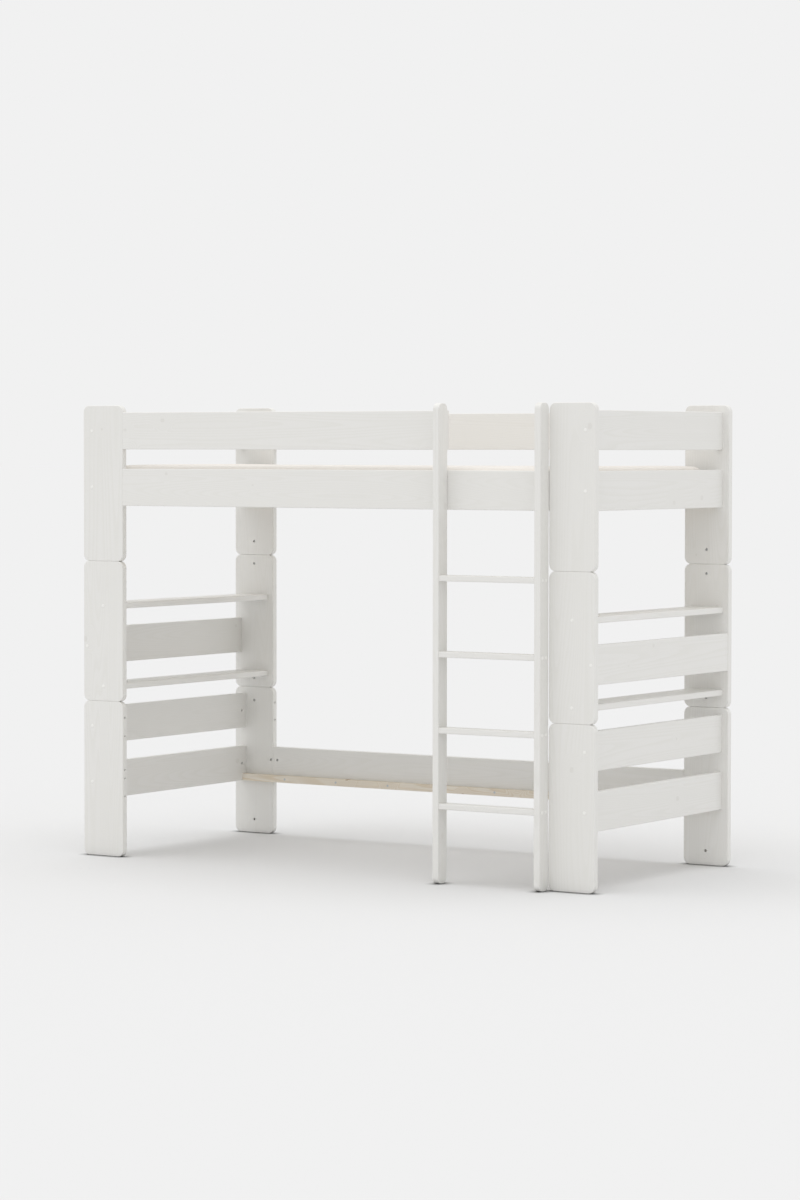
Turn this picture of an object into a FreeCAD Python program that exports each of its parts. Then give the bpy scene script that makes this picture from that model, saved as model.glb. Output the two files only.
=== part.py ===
import FreeCAD, Part
import os
import re
import Sketcher

# A loft bed of solid pine boards, in millimetres.
#
# Frame: X runs along the bed from its left end to its right end, Y from the ladder to the wall
# side, and Z up. The origin is on the floor, under the middle of the whole piece.
#
# Four posts stand at the corners. Each is a stack of three boards with rounded corners, held
# together by threaded rods, barrel nuts and dowels. Long rails join the posts edge to edge, end
# rails and narrow shelves run between them, and the ladder stands in front of the bed rail.

doc = FreeCAD.newDocument("loft_bed")

# ---------------------------------------------------------------------------
# Driving dimensions
# ---------------------------------------------------------------------------
SIZES = [
    # the bed as a whole
    ("bed_length", 2150, "outside of the posts, along X"),
    ("bed_depth", 975, "outer faces of the posts, along Y"),
    ("head_room", 25, "upper rail of an end section to the end of that section"),
    ("middle_section", 510, "height of a middle post section"),
    # boards
    ("board", 25, "thickness of posts and rails"),
    ("post_width", 178, "width of a post"),
    ("post_corner", 24, "corner radius of a post section"),
    ("easing", 3, "rounding of the long edges"),
    ("rail_height", 134, "height of every rail"),
    ("low_rail_rise", 202, "from the foot of an end section to its first rail"),
    ("rail_gap", 70, "between the two rails of an end section"),
    ("end_rail_inset", 26, "outer side of the posts to the paired end rails"),
    ("middle_rail_inset", 3, "outer side of the posts to the middle end rail"),
    ("middle_rail_rise", 132, "foot of the middle section to the middle end rail"),
    # end shelves
    ("shelf_thickness", 21, "thickness of an end shelf"),
    ("shelf_width", 133, "width of an end shelf"),
    ("shelf_inset", 22, "outer side of the posts to a shelf"),
    ("low_shelf_rise", 44, "foot of the middle section to the lower shelf"),
    ("high_shelf_rise", 337, "foot of the middle section to the upper shelf"),
    # ladder
    ("ladder_width", 426, "over the two stiles"),
    ("ladder_gap", 0.5, "between the right stile and the post beside it"),
    ("guard_overlap", 14, "end of the front guard rail behind the left stile"),
    ("stile_width", 24, "thickness of a stile, along X"),
    ("stile_depth", 57, "depth of a stile, along Y"),
    ("stile_corner", 22, "corner radius of a stile's ends"),
    ("rung_depth", 50, "depth of a rung"),
    ("rung_thickness", 20, "thickness of a rung"),
    ("first_rung", 256, "floor to the underside of the first rung"),
    ("rung_pitch", 259.5, "from one rung to the next"),
    ("rung_count", 4, "number of rungs"),
    # slatted base
    ("batten_height", 27, "height of a batten"),
    ("batten_depth", 25, "depth of a batten"),
    ("batten_screw_pitch", 236, "between the screws of a batten"),
    ("batten_screw_count", 8, "screws in one batten"),
    ("slat_width", 70, "width of a slat"),
    ("slat_thickness", 20, "thickness of a slat"),
    ("slat_count", 14, "number of slats"),
    ("slat_end_gap", 48, "end rail to the nearest slat"),
    ("slat_play", 5, "slat end to the rail beside it"),
    ("band_width", 30, "width of the webbing under the slats"),
    ("band_thickness", 1.5, "thickness of the webbing"),
    ("band_inset", 190, "rail to the middle of the webbing"),
    # mattress
    ("mattress_end_gap", 24, "end rail to the mattress"),
    ("mattress_side_gap", 12.5, "posts and long rails to the mattress"),
    ("mattress_height", 102, "height of the mattress"),
    ("mattress_corner", 45, "corner radius of the mattress, seen from above"),
    ("mattress_edge", 30, "rounding of its upper and lower edges"),
    # fasteners
    ("bolt_shank", 6, "diameter of bolts and threaded rods"),
    ("bolt_play", 0.5, "bore minus bolt, on the radius"),
    ("head_width", 11, "diameter of a bolt head"),
    ("head_height", 4, "height of a bolt head"),
    ("cap_width", 12, "diameter of a cover cap and its counterbore"),
    ("cap_seat", 3, "depth of a cover cap in its counterbore"),
    ("cap_proud", 1, "height of a cover cap above the wood"),
    ("cap_play", 0.1, "counterbore minus cover cap, on the radius"),
    ("nut_width", 10, "diameter of a barrel nut"),
    ("nut_length", 13, "length of a barrel nut"),
    ("nut_play", 0.2, "bore minus barrel nut, on the radius"),
    ("thread_play", 0.1, "nut bore minus bolt, on the radius"),
    ("bore_run", 4, "bore beyond the end of a bolt"),
    ("bolt_run", 6, "bolt beyond the middle of its barrel nut"),
    ("end_nut_rise", 52, "end of an end section to its barrel nut"),
    ("middle_nut_rise", 34, "end of a middle section to its barrel nut"),
    ("rail_nut_inset", 28, "end of an end rail or shelf to its barrel nut"),
    ("middle_screw_length", 70, "length of a middle end rail's screw under its head"),
    ("long_nut_inset", 20, "end of a long rail to its barrel nut"),
    ("edge_nut_inset", 10, "inner edge of a post to its barrel nut"),
    ("dowel_width", 8, "diameter of a dowel"),
    ("dowel_depth", 30, "depth of a dowel in each board"),
    ("dowel_play", 0.1, "bore minus dowel, on the radius"),
    ("post_dowel_spread", 55, "middle of a post to each of its dowels"),
    ("bed_dowel_spread", 48, "middle of a bed rail to each of its dowels"),
    ("guard_dowel_spread", 33.7, "middle of a guard rail to each of its dowels"),
    ("long_bolt_lift", 17, "middle of a bed rail up to its bolt"),
    ("screw_shank", 5, "diameter of a wood screw"),
    ("screw_play", 0.1, "bore minus wood screw, on the radius"),
    ("screw_head", 9, "diameter of a screw head"),
    ("screw_head_height", 3, "height of a screw head"),
    ("batten_screw_length", 38, "length of a batten screw under its head"),
    ("rung_screw_length", 60, "length of a rung screw under its head"),
    ("rung_screw_spread", 11.5, "middle of a rung to each of its screws"),
    ("ladder_screw_length", 60, "length of a ladder screw under its head"),
    ("ladder_screw_spread", 34, "middle of a rail to each of its ladder screws"),
]

sheet = doc.addObject("Spreadsheet::Sheet", "Sizes")
for row, (alias, number, note) in enumerate(SIZES, 1):
    sheet.set(f"A{row}", note)
    sheet.set(f"B{row}", str(number))
    sheet.setAlias(f"B{row}", alias)
doc.recompute()

ALIASES = re.compile(r"\b(" + "|".join(alias for alias, _, _ in SIZES) + r")\b")


def bind(item, path, formula):
    """Ties one property of an object to a formula of the named sizes."""
    item.setExpression(path, ALIASES.sub(r"Sizes.\1", formula))


def count(alias):
    """Reads a number of repeats from the sheet."""
    return int(sheet.get(alias))


def place(item, x, y, z):
    """Ties an object's position to formulas of the named sizes."""
    for axis, formula in (("x", x), ("y", y), ("z", z)):
        bind(item, f"Placement.Base.{axis}", formula)


# ---------------------------------------------------------------------------
# Places that several pieces share
# ---------------------------------------------------------------------------
END_SIDES = ("left", "right")
ROWS = ("front", "back")
TIERS = ("lower", "middle", "upper")

HIGH_RAIL_RISE = "low_rail_rise + rail_height + rail_gap"
END_SECTION = f"({HIGH_RAIL_RISE} + rail_height + head_room)"
TIER_FOOT = {"lower": "0", "middle": END_SECTION, "upper": f"{END_SECTION} + middle_section"}
TIER_HEIGHT = {"lower": END_SECTION, "middle": "middle_section", "upper": END_SECTION}
BED_HEIGHT = f"2*{END_SECTION} + middle_section"

CLEAR_DEPTH = "bed_depth - 2*board"
LONG_RAIL_LENGTH = "bed_length - 2*post_width"
BATTEN_LENGTH = "bed_length - 2*end_rail_inset - 2*board"
BED_RAIL_FOOT = f"{END_SECTION} + middle_section + low_rail_rise"
GUARD_RAIL_FOOT = f"{END_SECTION} + middle_section + {HIGH_RAIL_RISE}"
SLAT_FOOT = f"{BED_RAIL_FOOT} + batten_height"
RUNG_LENGTH = "ladder_width - 2*stile_width"
RIGHT_STILE = "bed_length/2 - post_width - ladder_gap - stile_width"
LEFT_STILE = "bed_length/2 - post_width - ladder_gap - ladder_width"
COUNTERBORE = "cap_seat + head_height"
BOLT_BORE_DEPTH = "rail_nut_inset + bolt_run + bore_run"
END_BOLT_LENGTH = f"board - ({COUNTERBORE}) + rail_nut_inset + bolt_run"
MIDDLE_SCREW_REACH = f"middle_screw_length - (board - ({COUNTERBORE}))"


def from_end(side, distance):
    """X of a point at a distance inwards from the left or the right end of the bed."""
    if side == "left":
        return f"-bed_length/2 + ({distance})"
    return f"bed_length/2 - ({distance})"


def from_face(row, distance):
    """Y of a point at a distance inwards from the front or the back faces of the posts."""
    if row == "front":
        return f"(stile_depth - bed_depth - cap_proud)/2 + ({distance})"
    return f"(stile_depth + bed_depth - cap_proud)/2 - ({distance})"


# ---------------------------------------------------------------------------
# Boards
# ---------------------------------------------------------------------------
PLANES = {
    # plane of the board's face: axis of its thickness, and whether the pad is turned round
    "XZ": (FreeCAD.Vector(0, 1, 0), True),
    "YZ": (FreeCAD.Vector(1, 0, 0), False),
    "XY": (FreeCAD.Vector(0, 0, 1), False),
}

BORE_PLANES = {
    # direction of a bore: its sketch plane, the sign of the plane's offset, pocket turned round
    "+X": ("YZ", 1, True),
    "-X": ("YZ", 1, False),
    "+Y": ("XZ", -1, False),
    "-Y": ("XZ", -1, True),
    "+Z": ("XY", 1, True),
    "-Z": ("XY", 1, False),
}


def new_sketch(body, name, plane):
    """Adds a sketch on one of the body's own origin planes."""
    sketch = body.newObject("Sketcher::SketchObject", name)
    support = [f for f in body.Origin.OriginFeatures if f.Role == f"{plane}_Plane"][0]
    sketch.AttachmentSupport = (support, "")
    sketch.MapMode = "FlatFace"
    return sketch


def name_constraint(sketch, constraint, name, formula):
    """Adds a measured constraint and ties it to a formula of the named sizes."""
    index = sketch.addConstraint(constraint)
    sketch.renameConstraint(index, name)
    bind(sketch, f"Constraints.{name}", formula)


def draw_rectangle(sketch, width, height):
    """Draws a rectangle whose first corner is the sketch's origin."""
    corners = [(0, 0), (100, 0), (100, 50), (0, 50)]
    points = [FreeCAD.Vector(x, y, 0) for x, y in corners]
    for index in range(4):
        sketch.addGeometry(Part.LineSegment(points[index], points[(index + 1) % 4]), False)
    for index in range(4):
        sketch.addConstraint(Sketcher.Constraint("Coincident", index, 2, (index + 1) % 4, 1))
    for index, direction in enumerate(("Horizontal", "Vertical", "Horizontal", "Vertical")):
        sketch.addConstraint(Sketcher.Constraint(direction, index))
    sketch.addConstraint(Sketcher.Constraint("Coincident", 0, 1, -1, 1))
    name_constraint(sketch, Sketcher.Constraint("DistanceX", 0, 1, 0, 2, 100.0), "width", width)
    name_constraint(sketch, Sketcher.Constraint("DistanceY", 1, 1, 1, 2, 50.0), "height", height)


def edges_where(shape, test):
    """Names of a shape's edges that pass a test."""
    return [f"Edge{index}" for index, edge in enumerate(shape.Edges, 1) if test(edge)]


def round_edges(body, name, test, radius):
    """Rounds the edges of the body's last feature that pass a test."""
    base = body.Tip
    fillet = body.newObject("PartDesign::Fillet", name)
    fillet.Base = (base, edges_where(base.Shape, test))
    bind(fillet, "Radius", radius)
    doc.recompute()


def runs_along(axis):
    """A test for straight edges that are parallel to an axis."""
    def test(edge):
        start, end = edge.Vertexes[0].Point, edge.Vertexes[-1].Point
        return abs((end - start).dot(axis)) > 0.999 * edge.Length
    return test


def lies_across(axis):
    """A test for edges that lie in a plane square to an axis."""
    def test(edge):
        box = edge.BoundBox
        size = FreeCAD.Vector(box.XLength, box.YLength, box.ZLength)
        return abs(size.dot(axis)) < 0.01
    return test


def board(label, plane, width, height, thickness, corner=None, grain=None, easing="easing"):
    """A board as a body: a padded rectangle, then its rounded corners and its eased edges.

    A board with rounded corners is eased all round both faces. A board that is cut square is
    eased along its grain only, so its sawn ends stay flat.
    """
    axis, turned = PLANES[plane]
    body = doc.addObject("PartDesign::Body", label)
    body.Label = label
    sketch = new_sketch(body, f"{label}_outline", plane)
    draw_rectangle(sketch, width, height)
    pad = body.newObject("PartDesign::Pad", f"{label}_pad")
    pad.Profile = sketch
    pad.Reversed = turned
    bind(pad, "Length", thickness)
    doc.recompute()
    if corner:
        round_edges(body, f"{label}_corners", runs_along(axis), corner)
        round_edges(body, f"{label}_easing", lies_across(axis), easing)
    elif grain:
        round_edges(body, f"{label}_easing", runs_along(grain), easing)
    return body


def bore(body, name, direction, start, centres, width, depth):
    """Drills round bores of one size into a body, all from one plane and in one direction."""
    plane, offset_sign, turned = BORE_PLANES[direction]
    sketch = new_sketch(body, f"{body.Label}_{name}_centres", plane)
    bind(sketch, "AttachmentOffset.Base.z", f"{offset_sign}*({start})")
    for index, (across, up) in enumerate(centres):
        circle = Part.Circle(FreeCAD.Vector(20 + 30 * index, 20, 0), FreeCAD.Vector(0, 0, 1), 3)
        sketch.addGeometry(circle, False)
        for kind, letter, formula, guess in (("DistanceX", "x", across, 20.0 + 30 * index),
                                             ("DistanceY", "y", up, 20.0)):
            rule = Sketcher.Constraint(kind, -1, 1, index, 3, guess)
            name_constraint(sketch, rule, f"{letter}{index}", formula)
        rule = Sketcher.Constraint("Diameter", index, 6.0)
        name_constraint(sketch, rule, f"width{index}", width)
    whole = body.Tip.Shape.Volume
    pocket = body.newObject("PartDesign::Pocket", f"{body.Label}_{name}")
    pocket.Profile = sketch
    pocket.Reversed = turned
    bind(pocket, "Length", depth)
    doc.recompute()
    if pocket.Shape.isNull() or pocket.Shape.Volume > whole - 1:
        raise RuntimeError(f"{body.Label}: bore {name} cuts nothing")


# ---------------------------------------------------------------------------
# Posts
# ---------------------------------------------------------------------------
def post_section(row, side, tier):
    """One board of a post, with every bore that its maker drills in that kind of section."""
    height = TIER_HEIGHT[tier]
    body = board(f"post_{row}_{side}_{tier}", "XZ", "post_width", height, "board",
                 corner="post_corner")

    def inward(distance):
        """Local X at a distance from the outer side of the post."""
        if side == "left":
            return distance
        return f"post_width - ({distance})"

    outer_face, inner_face = ("0", "board") if row == "front" else ("board", "0")
    inwards, outwards = ("+Y", "-Y") if row == "front" else ("-Y", "+Y")

    # bolts that come through the outer face into the end rails and the shelves
    if tier == "middle":
        nut_rise = "middle_nut_rise"
        shelf_x = inward("shelf_inset + shelf_width/2")
        bolts = [
            (inward("middle_rail_inset + board/2"), "middle_rail_rise + rail_height/2"),
            (shelf_x, "low_shelf_rise + shelf_thickness/2"),
            (shelf_x, "high_shelf_rise + shelf_thickness/2"),
        ]
    else:
        nut_rise = "end_nut_rise"
        rail_x = inward("end_rail_inset + board/2")
        bolts = [
            (rail_x, "low_rail_rise + rail_height/2"),
            (rail_x, f"{HIGH_RAIL_RISE} + rail_height/2"),
        ]
    bore(body, "counterbores", inwards, outer_face, bolts, "cap_width", COUNTERBORE)
    bore(body, "bolt_bores", inwards, outer_face, bolts, "bolt_shank + 2*bolt_play", "board")

    # barrel nuts for the rods that hold the sections together
    nuts = [("post_width/2", nut_rise), ("post_width/2", f"{height} - {nut_rise}")]
    if tier != "middle":
        nuts.append((inward("post_width - edge_nut_inset"),
                     "low_rail_rise + rail_height/2 + long_bolt_lift"))
    bore(body, "nut_bores", outwards, inner_face, nuts, "nut_width + 2*nut_play",
         "board/2 + nut_length/2")

    # rods and dowels in the two ends
    rod_depth = f"{nut_rise} + bolt_run + bore_run"
    dowels = [("post_width/2 - post_dowel_spread", "board/2"),
              ("post_width/2 + post_dowel_spread", "board/2")]
    for end, direction, start in (("foot", "+Z", "0"), ("head", "-Z", height)):
        bore(body, f"{end}_rod_bore", direction, start, [("post_width/2", "board/2")],
             "bolt_shank + 2*bolt_play", rod_depth)
        outermost = (tier == "lower" and end == "foot") or (tier == "upper" and end == "head")
        if not outermost:
            bore(body, f"{end}_dowel_bores", direction, start, dowels,
                 "dowel_width + 2*dowel_play", "dowel_depth")

    # dowels and a rod in the inner edge, for a bed rail below and a guard rail above
    if tier != "middle":
        edge, direction = ("post_width", "-X") if side == "left" else ("0", "+X")
        low = "low_rail_rise + rail_height/2"
        high = f"{HIGH_RAIL_RISE} + rail_height/2"
        spots = [f"{low} - bed_dowel_spread", f"{low} + bed_dowel_spread",
                 f"{high} - guard_dowel_spread", f"{high} + guard_dowel_spread"]
        bore(body, "edge_dowel_bores", direction, edge, [("board/2", z) for z in spots],
             "dowel_width + 2*dowel_play", "dowel_depth")
        bore(body, "edge_rod_bore", direction, edge, [("board/2", f"{low} + long_bolt_lift")],
             "bolt_shank + 2*bolt_play", "edge_nut_inset + bolt_run + bore_run")

    width_from_end = "0" if side == "left" else "post_width"
    depth_from_face = "0" if row == "front" else "board"
    place(body, from_end(side, width_from_end), from_face(row, depth_from_face), TIER_FOOT[tier])
    return body


# ---------------------------------------------------------------------------
# Long rails
# ---------------------------------------------------------------------------
ALONG_X = FreeCAD.Vector(1, 0, 0)
ALONG_Y = FreeCAD.Vector(0, 1, 0)


def batten_screw_x(index):
    """X of one of a batten's screws, from the middle of the bed."""
    return f"({index} - (batten_screw_count - 1)/2)*batten_screw_pitch"


def bed_rail(label, row, foot):
    """A rail that carries a batten: doweled, and drawn to the posts by rods and barrel nuts."""
    body = board(label, "XZ", LONG_RAIL_LENGTH, "rail_height", "board", grain=ALONG_X)
    inner_face, outwards = ("board", "-Y") if row == "front" else ("0", "+Y")
    lift = "rail_height/2 + long_bolt_lift"
    for end, direction, start in (("left", "+X", "0"), ("right", "-X", LONG_RAIL_LENGTH)):
        bore(body, f"{end}_dowel_bores", direction, start,
             [("board/2", "rail_height/2 - bed_dowel_spread"),
              ("board/2", "rail_height/2 + bed_dowel_spread")],
             "dowel_width + 2*dowel_play", "dowel_depth")
        bore(body, f"{end}_rod_bore", direction, start, [("board/2", lift)],
             "bolt_shank + 2*bolt_play", "long_nut_inset + bolt_run + bore_run")
    bore(body, "nut_bores", outwards, inner_face,
         [("long_nut_inset", lift), (f"{LONG_RAIL_LENGTH} - long_nut_inset", lift)],
         "nut_width + 2*nut_play", "board/2 + nut_length/2")
    screws = [(f"({LONG_RAIL_LENGTH})/2 + {batten_screw_x(index)}", "batten_height/2")
              for index in range(count("batten_screw_count"))]
    bore(body, "batten_screw_bores", outwards, inner_face, screws,
         "screw_shank + 2*screw_play", "batten_screw_length + screw_head_height - batten_depth")
    thickness = "0" if row == "front" else "board"
    place(body, from_end("left", "post_width"), from_face(row, thickness), foot)
    return body


def ladder_screw_heights(foot):
    """Heights of the two screws that fix a stile to a rail."""
    return [f"{foot} + rail_height/2 - ladder_screw_spread",
            f"{foot} + rail_height/2 + ladder_screw_spread"]


def bore_for_ladder(body, name, left_edge, screw_lines):
    """Bores through a front rail, from behind, for the screws that hold the ladder."""
    centres = []
    for line in screw_lines:
        centres += [(f"{line} - ({left_edge})", z) for z in ladder_screw_heights("0")]
    bore(body, f"{name}_heads", "-Y", "board", centres, "screw_head + 2*screw_play",
         "screw_head_height")
    bore(body, f"{name}_bores", "-Y", "board", centres, "screw_shank + 2*screw_play", "board")


def guard_rail(label, row, length, doweled_ends):
    """A guard rail: two dowels in each end that meets a post."""
    body = board(label, "XZ", length, "rail_height", "board", grain=ALONG_X)
    for end, direction, start in (("left", "+X", "0"), ("right", "-X", length)):
        if end in doweled_ends:
            bore(body, f"{end}_dowel_bores", direction, start,
                 [("board/2", "rail_height/2 - guard_dowel_spread"),
                  ("board/2", "rail_height/2 + guard_dowel_spread")],
                 "dowel_width + 2*dowel_play", "dowel_depth")
    thickness = "0" if row == "front" else "board"
    place(body, from_end("left", "post_width"), from_face(row, thickness), GUARD_RAIL_FOOT)
    return body


# ---------------------------------------------------------------------------
# End rails and end shelves
# ---------------------------------------------------------------------------
# The middle end rails are held by long screws in their end grain, so their faces stay whole. The
# other end rails and the shelves are held by bolts and barrel nuts.
END_RAILS = {
    # name: (foot of the rail, its inset from the outer side of the posts)
    "low_lower": ("low_rail_rise", "end_rail_inset"),
    "low_upper": (HIGH_RAIL_RISE, "end_rail_inset"),
    "middle": (f"{END_SECTION} + middle_rail_rise", "middle_rail_inset"),
    "bed": (BED_RAIL_FOOT, "end_rail_inset"),
    "guard": (GUARD_RAIL_FOOT, "end_rail_inset"),
}

SHELVES = {
    # name: foot of the shelf
    "lower": f"{END_SECTION} + low_shelf_rise",
    "upper": f"{END_SECTION} + high_shelf_rise",
}


def bore_ends(body, across, up, width, depth):
    """Bores both ends of a piece that spans the posts, for what comes through the posts."""
    for end, direction, start in (("front", "+Y", "0"), ("back", "-Y", CLEAR_DEPTH)):
        bore(body, f"{end}_bore", direction, start, [(across, up)], width, depth)


def bore_for_nuts(body, direction, start, spots, depth):
    """Bores a piece that spans the posts for the two barrel nuts near its ends."""
    bore(body, "nut_bores", direction, start, spots, "nut_width + 2*nut_play", depth)


def end_rail(side, name):
    """A rail between the front and the back post, any barrel nuts in its inner face."""
    foot, inset = END_RAILS[name]
    body = board(f"{side}_{name}_rail", "YZ", CLEAR_DEPTH, "rail_height", "board", grain=ALONG_Y)
    if name == "middle":
        bore_ends(body, "board/2", "rail_height/2", "bolt_shank + 2*screw_play",
                  f"{MIDDLE_SCREW_REACH} + bore_run")
    else:
        bore_ends(body, "board/2", "rail_height/2", "bolt_shank + 2*bolt_play", BOLT_BORE_DEPTH)
        inner_face, outwards = ("board", "-X") if side == "left" else ("0", "+X")
        spots = [(y, "rail_height/2") for y in ("rail_nut_inset", f"{CLEAR_DEPTH} - rail_nut_inset")]
        bore_for_nuts(body, outwards, inner_face, spots, "board/2 + nut_length/2")
    reach = inset if side == "left" else f"{inset} + board"
    place(body, from_end(side, reach), from_face("front", "board"), foot)
    return body


def end_shelf(side, name):
    """A narrow shelf between the front and the back post, its barrel nuts in its underside."""
    body = board(f"{side}_{name}_shelf", "XY", "shelf_width", CLEAR_DEPTH, "shelf_thickness",
                 grain=ALONG_Y)
    bore_ends(body, "shelf_width/2", "shelf_thickness/2", "bolt_shank + 2*bolt_play",
              BOLT_BORE_DEPTH)
    spots = [("shelf_width/2", y) for y in ("rail_nut_inset", f"{CLEAR_DEPTH} - rail_nut_inset")]
    bore_for_nuts(body, "+Z", "0", spots, "shelf_thickness/2 + nut_length/2")
    reach = "shelf_inset" if side == "left" else "shelf_inset + shelf_width"
    place(body, from_end(side, reach), from_face("front", "board"), SHELVES[name])
    return body


# ---------------------------------------------------------------------------
# Ladder
# ---------------------------------------------------------------------------
STILES = {"left": LEFT_STILE, "right": RIGHT_STILE}

# X of the screws that hold the stiles to the bed rail, and the left stile to the guard rail
BED_SCREW_LINES = [f"{stile} + stile_width/2" for stile in STILES.values()]
GUARD_SCREW_LINE = f"{LEFT_STILE} + guard_overlap/2"


def rung_foot(index):
    """Height of the underside of a rung."""
    return f"first_rung + {index}*rung_pitch"


def rung_screw_depths():
    """Y of a rung's two screws, from the front of the stile."""
    return ["stile_depth/2 - rung_screw_spread", "stile_depth/2 + rung_screw_spread"]


def ladder_stile(side):
    """A stile on edge, rounded at its four corners, bored for its rungs and for the rails."""
    body = board(f"ladder_stile_{side}", "YZ", "stile_depth", BED_HEIGHT, "stile_width",
                 corner="stile_corner")
    outer, inwards = ("0", "+X") if side == "left" else ("stile_width", "-X")
    centres = [(y, f"{rung_foot(index)} + rung_thickness/2")
               for index in range(count("rung_count")) for y in rung_screw_depths()]
    bore(body, "counterbores", inwards, outer, centres, "cap_width",
         "cap_seat + screw_head_height")
    bore(body, "rung_screw_bores", inwards, outer, centres, "screw_shank + 2*screw_play",
         "stile_width")
    spots = [("stile_width/2", z) for z in ladder_screw_heights(BED_RAIL_FOOT)]
    if side == "left":
        spots += [("guard_overlap/2", z) for z in ladder_screw_heights(GUARD_RAIL_FOOT)]
    bore(body, "rail_screw_bores", "-Y", "stile_depth", spots, "screw_shank + 2*screw_play",
         "ladder_screw_length + screw_head_height - board")
    place(body, STILES[side], from_face("front", "-stile_depth"), "0")
    return body


def ladder_rung(index):
    """A flat rung between the stiles, with two screw bores in each end."""
    body = board(f"ladder_rung_{index + 1}", "XY", RUNG_LENGTH, "rung_depth", "rung_thickness",
                 grain=ALONG_X)
    spots = [(f"rung_depth/2 {sign} rung_screw_spread", "rung_thickness/2") for sign in "-+"]
    depth = "rung_screw_length - stile_width + cap_seat + screw_head_height"
    for end, direction, start in (("left", "+X", "0"), ("right", "-X", RUNG_LENGTH)):
        bore(body, f"{end}_screw_bores", direction, start, spots, "screw_shank + 2*screw_play",
             depth)
    place(body, f"{LEFT_STILE} + stile_width",
          from_face("front", "-(stile_depth + rung_depth)/2"), rung_foot(index))
    return body


# ---------------------------------------------------------------------------
# Slatted base and mattress
# ---------------------------------------------------------------------------
def batten(label, row, foot):
    """A batten along the foot of a bed rail, passing in front of the posts to the end rails."""
    body = board(label, "XZ", BATTEN_LENGTH, "batten_height", "batten_depth", grain=ALONG_X,
                 easing="easing/2")
    free_face, inwards = ("batten_depth", "-Y") if row == "front" else ("0", "+Y")
    centres = [(f"({BATTEN_LENGTH})/2 + {batten_screw_x(index)}", "batten_height/2")
               for index in range(count("batten_screw_count"))]
    bore(body, "screw_heads", inwards, free_face, centres, "screw_head + 2*screw_play",
         "screw_head_height")
    bore(body, "screw_bores", inwards, free_face, centres, "screw_shank + 2*screw_play",
         "batten_depth")
    reach = "board" if row == "front" else "board + batten_depth"
    place(body, from_end("left", "end_rail_inset + board"), from_face(row, reach), foot)
    return body


def group(label, members):
    """Several separate pieces of one kind as one object."""
    compound = doc.addObject("Part::Compound", label)
    compound.Label = label
    compound.Links = members
    return compound


SLAT_RUN = "bed_length - 2*end_rail_inset - 2*board - 2*slat_end_gap"


def slats():
    """The slats, spread evenly between the end rails, resting on the two bed battens."""
    members = []
    for index in range(count("slat_count")):
        slat = board(f"slat_{index + 1}", "XY", "slat_width", f"{CLEAR_DEPTH} - 2*slat_play",
                     "slat_thickness", grain=ALONG_Y)
        step = f"({SLAT_RUN} - slat_width)/(slat_count - 1)"
        place(slat, from_end("left", f"end_rail_inset + board + slat_end_gap + {index}*{step}"),
              from_face("front", "board + slat_play"), SLAT_FOOT)
        members.append(slat)
    return group("slats", members)


def slat_band(row):
    """A band of webbing under the slats, which keeps them apart."""
    band = doc.addObject("Part::Box", f"slat_band_{row}")
    band.Label = f"slat_band_{row}"
    bind(band, "Length", SLAT_RUN)
    bind(band, "Width", "band_width")
    bind(band, "Height", "band_thickness")
    reach = "board + band_inset"
    edge = f"{reach} - band_width/2" if row == "front" else f"{reach} + band_width/2"
    place(band, from_end("left", "end_rail_inset + board + slat_end_gap"), from_face(row, edge),
          f"{SLAT_FOOT} - band_thickness")
    return band


def mattress():
    """A foam mattress that lies on the slats, in the middle of the space between the rails."""
    body = board("mattress", "XY", f"{BATTEN_LENGTH} - 2*mattress_end_gap",
                 f"{CLEAR_DEPTH} - 2*mattress_side_gap", "mattress_height",
                 corner="mattress_corner", easing="mattress_edge")
    place(body, from_end("left", "end_rail_inset + board + mattress_end_gap"),
          from_face("front", "board + mattress_side_gap"), f"{SLAT_FOOT} + slat_thickness")
    return body


# ---------------------------------------------------------------------------
# Fasteners
# ---------------------------------------------------------------------------
DIRECTIONS = {
    "+X": FreeCAD.Vector(1, 0, 0), "-X": FreeCAD.Vector(-1, 0, 0),
    "+Y": FreeCAD.Vector(0, 1, 0), "-Y": FreeCAD.Vector(0, -1, 0),
    "+Z": FreeCAD.Vector(0, 0, 1), "-Z": FreeCAD.Vector(0, 0, -1),
}
OPPOSITE = {"+X": "-X", "-X": "+X", "+Y": "-Y", "-Y": "+Y", "+Z": "-Z", "-Z": "+Z"}


def shifted(point, direction, distance):
    """A point moved a distance along a direction."""
    moved = list(point)
    axis = "XYZ".index(direction[1])
    moved[axis] = f"{moved[axis]} {direction[0]} ({distance})"
    return tuple(moved)


def cylinder(name, point, direction, width, length):
    """A cylinder that starts at a point and runs in a direction."""
    item = doc.addObject("Part::Cylinder", name)
    bind(item, "Radius", f"({width})/2")
    bind(item, "Height", length)
    item.Placement.Rotation = FreeCAD.Rotation(FreeCAD.Vector(0, 0, 1), DIRECTIONS[direction])
    place(item, *point)
    return item


def headed(name, seat, direction, shank, length, head, head_height):
    """A bolt or a screw whose head rests on a seat and whose shank runs in a direction."""
    fuse = doc.addObject("Part::Fuse", name)
    fuse.Base = cylinder(f"{name}_shank", seat, direction, shank, length)
    fuse.Tool = cylinder(f"{name}_head", seat, OPPOSITE[direction], head, head_height)
    return fuse


def bolt_row(name, seats, length):
    """Bolts of one length on a list of seats, each seat a point and a direction."""
    return [headed(f"{name}_{index + 1}", point, direction, "bolt_shank", length, "head_width",
                   "head_height") for index, (point, direction) in enumerate(seats)]


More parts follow.
